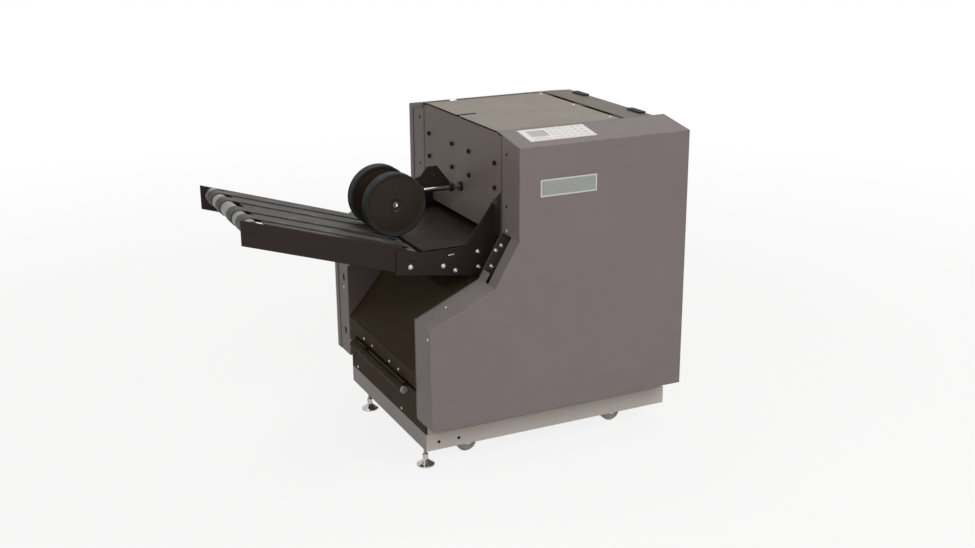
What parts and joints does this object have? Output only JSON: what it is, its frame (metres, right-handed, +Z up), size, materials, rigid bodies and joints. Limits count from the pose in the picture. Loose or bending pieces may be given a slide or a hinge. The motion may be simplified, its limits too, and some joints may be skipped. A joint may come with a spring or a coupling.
{
  "type": "booklet maker",
  "caption": "Floor-standing booklet maker with stepped sheet-metal covers, hinged top cover, press wheels, an inclined delivery conveyor and a fold and trim unit.",
  "frame": {"origin": "on the floor under the middle of the whole machine's box", "axes": "+X along the paper path towards the infeed, -Y towards the operator, +Z up"},
  "size_m": [1.198, 0.7232, 0.908],
  "materials": {
    "cover_paint": "satin fine texture",
    "lid_paint": "satin fine texture",
    "plate_paint": "satin",
    "base_paint": "satin",
    "dark_paint": "satin black-brown",
    "frame_paint": "satin",
    "zinc": "zinc plated",
    "bright_steel": "ground",
    "blade_steel": "ground",
    "chrome": "polished",
    "wheel_black": "satin",
    "tyre_rubber": "matte",
    "belt_rubber": "matte",
    "black_plastic": "satin",
    "castor_tyre": "matte",
    "panel_overlay": "satin film",
    "display_window": "gloss",
    "key_film": "satin film",
    "badge_plate": "satin",
    "motor_paint": "painted"
  },
  "bodies": {
    "chassis": {"base_frame": "base_paint", "floor_pan": "base_paint", "castor_plates": "zinc", "rigid_castor_forks": "zinc", "side_frame_operator": "frame_paint", "side_frame_rear": "frame_paint", "tie_bars": "zinc", "top_rails": "frame_paint", "operator_cover": "cover_paint", "rear_cover": "cover_paint", "delivery_end_plate": "plate_paint", "infeed_end_plate": "plate_paint", "infeed_top_panel": "lid_paint", "edge_blocks": "black_plastic", "lid_hinges": "frame_paint", "control_panel": "panel_overlay", "panel_display": "display_window", "panel_keys": "key_film", "blank_badge": "badge_plate", "machine_screws": "zinc", "waste_chute": "dark_paint", "chute_lip": "dark_paint", "plinth_board": "dark_paint", "front_bar": "dark_paint", "bar_caps": "zinc", "conveyor_rails": "dark_paint", "gusset_plates": "dark_paint", "conveyor_bed": "dark_paint", "transfer_tray": "dark_paint", "conveyor_belts": "belt_rubber", "conveyor_motor": "motor_paint", "slide_rod": "chrome", "sheet_guides": "zinc", "stitch_unit": "frame_paint", "knife_rods": "bright_steel", "trim_frame": "frame_paint", "main_motor": "motor_paint", "drive_belt": "belt_rubber", "control_box": "zinc"},
    "lid": {"top_cover": "lid_paint", "lid_hinge_leaves": "zinc"},
    "carriage": {"wheel_carriage": "dark_paint"},
    "arm": {"wheel_arm": "dark_paint"},
    "wheels": {"press_wheels": "wheel_black", "wheel_tyres": "tyre_rubber"},
    "conveyor_drive": {"drive_roller": "bright_steel"},
    "conveyor_tail": {"tail_roller": "bright_steel"},
    "fold_lower": {"fold_roller_lower": "bright_steel"},
    "fold_upper": {"fold_roller_upper": "bright_steel"},
    "motor_rotor": {"motor_pulley": "bright_steel"},
    "knife": {"fold_knife": "blade_steel"},
    "trimmer": {"trim_blade": "blade_steel"},
    "castor_swivel_front": {"castor_fork_front": "zinc"},
    "castor_swivel_rear": {"castor_fork_rear": "zinc"},
    "castor_roll_1": {"castor_wheel_1": "castor_tyre"},
    "castor_roll_2": {"castor_wheel_2": "castor_tyre"},
    "castor_roll_3": {"castor_wheel_3": "castor_tyre"},
    "castor_roll_4": {"castor_wheel_4": "castor_tyre"},
    "foot_front": {"levelling_foot_front": "chrome"},
    "foot_rear": {"levelling_foot_rear": "chrome"}
  },
  "joints": [
    {"name": "lid_hinge", "type": "hinge", "parent": "chassis", "child": "lid", "pos_m": [0.466, 0, 0.8965], "axis": [0, 1, 0], "range_deg": [0, 95]},
    {"name": "carriage_slide", "type": "slide", "parent": "chassis", "child": "carriage", "axis": [1, 0, 0], "range_m": [0, 0.016]},
    {"name": "arm_lift", "type": "hinge", "parent": "carriage", "child": "arm", "pos_m": [0.011, 0, 0.735], "axis": [0, 1, 0], "range_deg": [0, 35]},
    {"name": "wheel_spin", "type": "hinge", "parent": "arm", "child": "wheels", "pos_m": [-0.138, 0, 0.68877], "axis": [0, 1, 0], "continuous": true},
    {"name": "conveyor_drive_spin", "type": "hinge", "parent": "chassis", "child": "conveyor_drive", "pos_m": [-0.144, 0, 0.576], "axis": [0, 1, 0], "continuous": true},
    {"name": "conveyor_tail_spin", "type": "hinge", "parent": "chassis", "child": "conveyor_tail", "pos_m": [-0.569, 0, 0.70837], "axis": [0, 1, 0], "continuous": true},
    {"name": "fold_lower_spin", "type": "hinge", "parent": "chassis", "child": "fold_lower", "pos_m": [0.261, 0, 0.579], "axis": [0, 1, 0], "continuous": true},
    {"name": "fold_upper_spin", "type": "hinge", "parent": "chassis", "child": "fold_upper", "pos_m": [0.261, 0, 0.629], "axis": [0, 1, 0], "continuous": true},
    {"name": "motor_spin", "type": "hinge", "parent": "chassis", "child": "motor_rotor", "pos_m": [0.431, 0, 0.26], "axis": [0, 1, 0], "continuous": true},
    {"name": "knife_slide", "type": "slide", "parent": "chassis", "child": "knife", "axis": [-1, 0, 0], "range_m": [0, 0.04]},
    {"name": "trim_slide", "type": "slide", "parent": "chassis", "child": "trimmer", "axis": [0, 0, -1], "range_m": [0, 0.055]},
    {"name": "castor_front_swivel", "type": "hinge", "parent": "chassis", "child": "castor_swivel_front", "pos_m": [-0.024, -0.207, 0.094], "axis": [0, 0, 1], "continuous": true},
    {"name": "castor_rear_swivel", "type": "hinge", "parent": "chassis", "child": "castor_swivel_rear", "pos_m": [-0.024, 0.207, 0.094], "axis": [0, 0, 1], "continuous": true},
    {"name": "castor_1_spin", "type": "hinge", "parent": "castor_swivel_front", "child": "castor_roll_1", "pos_m": [-0.004, -0.207, 0.03], "axis": [0, 1, 0], "continuous": true},
    {"name": "castor_2_spin", "type": "hinge", "parent": "castor_swivel_rear", "child": "castor_roll_2", "pos_m": [-0.004, 0.207, 0.03], "axis": [0, 1, 0], "continuous": true},
    {"name": "castor_3_spin", "type": "hinge", "parent": "chassis", "child": "castor_roll_3", "pos_m": [0.461, -0.207, 0.03], "axis": [0, 1, 0], "continuous": true},
    {"name": "castor_4_spin", "type": "hinge", "parent": "chassis", "child": "castor_roll_4", "pos_m": [0.461, 0.207, 0.03], "axis": [0, 1, 0], "continuous": true},
    {"name": "foot_front_screw", "type": "slide", "parent": "chassis", "child": "foot_front", "axis": [0, 0, 1], "range_m": [-0.01, 0.012]},
    {"name": "foot_rear_screw", "type": "slide", "parent": "chassis", "child": "foot_rear", "axis": [0, 0, 1], "range_m": [-0.01, 0.012]}
  ],
  "couplings": [
    {"joint": "conveyor_tail_spin", "follows": "conveyor_drive_spin", "ratio": 1},
    {"joint": "fold_upper_spin", "follows": "fold_lower_spin", "ratio": -1},
    {"joint": "motor_spin", "follows": "fold_lower_spin", "ratio": 2}
  ]
}
